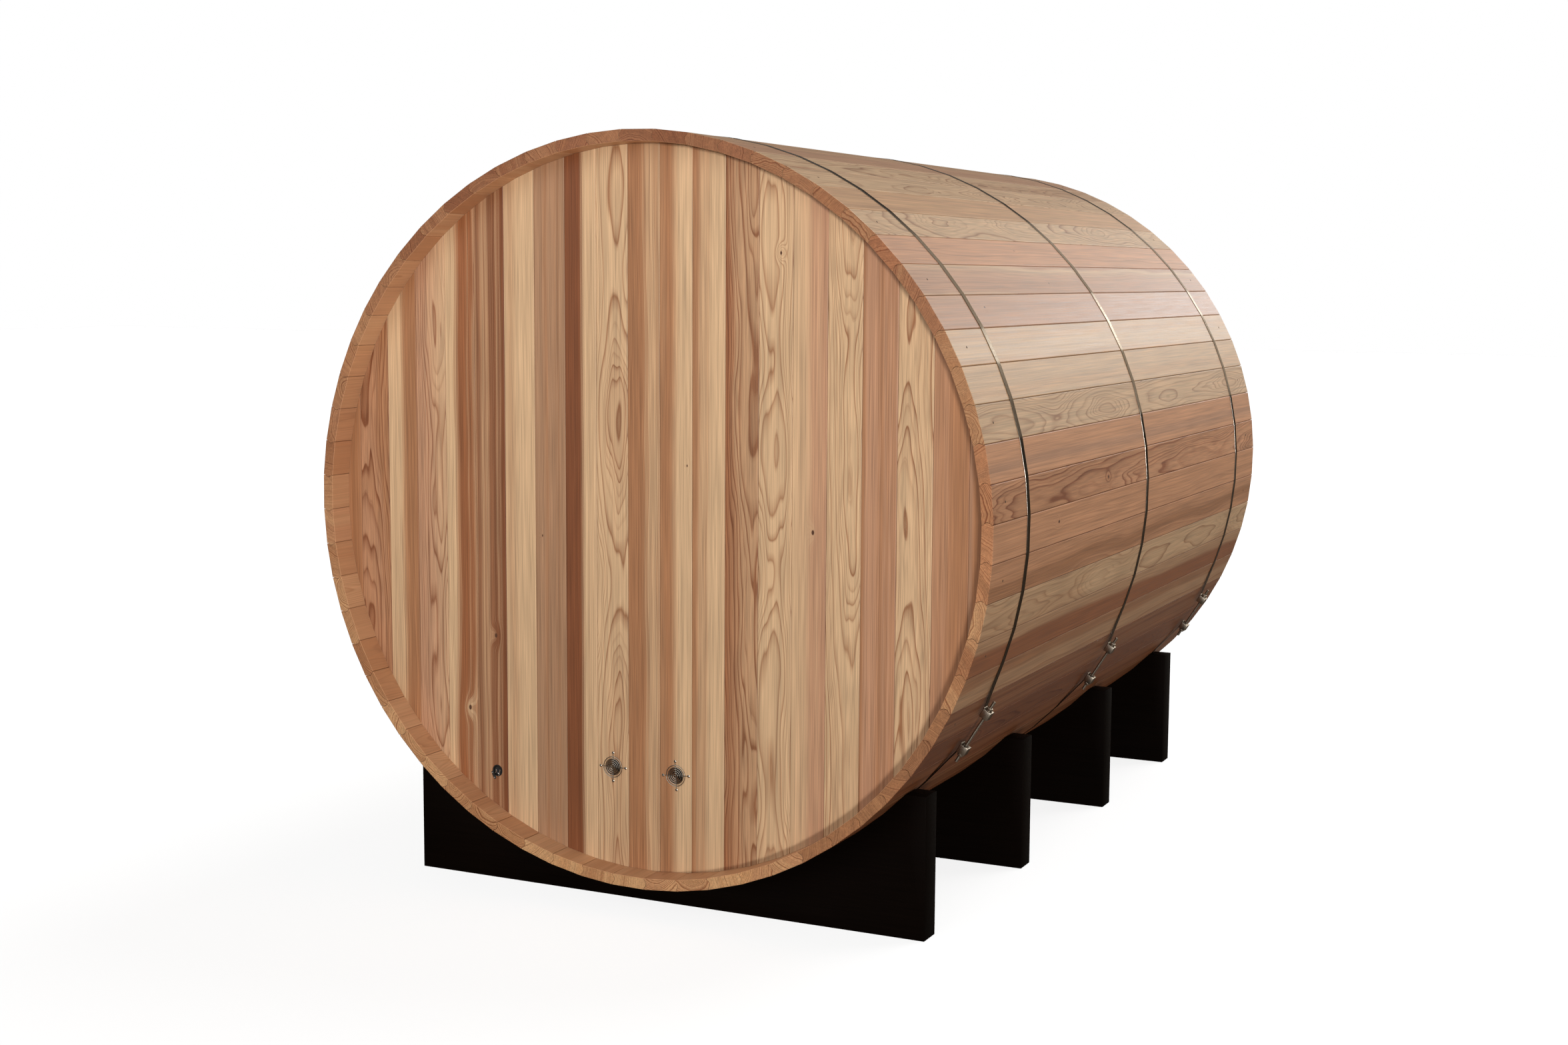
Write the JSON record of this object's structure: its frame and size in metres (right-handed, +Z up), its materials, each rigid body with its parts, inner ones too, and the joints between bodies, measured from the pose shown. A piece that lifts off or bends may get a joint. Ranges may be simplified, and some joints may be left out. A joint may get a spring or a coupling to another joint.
{
  "type": "barrel sauna",
  "caption": "Outdoor barrel sauna of cedar staves held by steel bands with rod tensioners, lying on black timber cradles, with board end walls and wire-guarded vents",
  "frame": {"origin": "on the ground under the middle of the barrel", "axes": "+Z up; the barrel's axis runs along Y, with the vented rear wall facing -Y and the plain front wall facing +Y; the band tensioners are on the +X side"},
  "size_m": [1.8116, 2.438, 1.8798],
  "materials": {
    "cedar_staves": "planed, clear, tight-grained cedar",
    "cedar_wall_boards": "planed, clear cedar boards",
    "black_stained_wood": "matt black stain",
    "stainless_bands": "smooth mill finish",
    "stainless_fixings": "smooth",
    "guard_wire": "bright plated wire",
    "black_rubber": "matt"
  },
  "bodies": {
    "root": {"stave_panel_01": "cedar_staves", "stave_panel_02": "cedar_staves", "stave_panel_03": "cedar_staves", "stave_panel_04": "cedar_staves", "stave_panel_05": "cedar_staves", "stave_panel_06": "cedar_staves", "stave_panel_07": "cedar_staves", "stave_panel_08": "cedar_staves", "stave_panel_09": "cedar_staves", "stave_panel_10": "cedar_staves", "stave_panel_11": "cedar_staves", "stave_panel_12": "cedar_staves", "stave_panel_13": "cedar_staves", "stave_panel_14": "cedar_staves", "stave_panel_15": "cedar_staves", "stave_panel_16": "cedar_staves", "stave_panel_17": "cedar_staves", "stave_panel_18": "cedar_staves", "stave_panel_19": "cedar_staves", "stave_panel_20": "cedar_staves", "stave_panel_21": "cedar_staves", "stave_panel_22": "cedar_staves", "stave_panel_23": "cedar_staves", "stave_panel_24": "cedar_staves", "stave_panel_25": "cedar_staves", "stave_panel_26": "cedar_staves", "stave_panel_27": "cedar_staves", "stave_panel_28": "cedar_staves", "stave_panel_29": "cedar_staves", "stave_panel_30": "cedar_staves", "stave_panel_31": "cedar_staves", "stave_panel_32": "cedar_staves", "rear_wall": "cedar_wall_boards", "front_wall": "cedar_wall_boards", "cradle_1": "black_stained_wood", "cradle_2": "black_stained_wood", "cradle_3": "black_stained_wood", "cradle_4": "black_stained_wood", "band_1": "stainless_bands", "band_2": "stainless_bands", "band_3": "stainless_bands", "upper_tension_block_1": "stainless_fixings", "lower_tension_block_1": "stainless_fixings", "tension_rod_1": "stainless_fixings", "upper_tension_block_2": "stainless_fixings", "lower_tension_block_2": "stainless_fixings", "tension_rod_2": "stainless_fixings", "upper_tension_block_3": "stainless_fixings", "lower_tension_block_3": "stainless_fixings", "tension_rod_3": "stainless_fixings", "vent_guard_1": "guard_wire", "vent_guard_2": "guard_wire", "cable_port_gland": "black_rubber"}
  },
  "joints": []
}
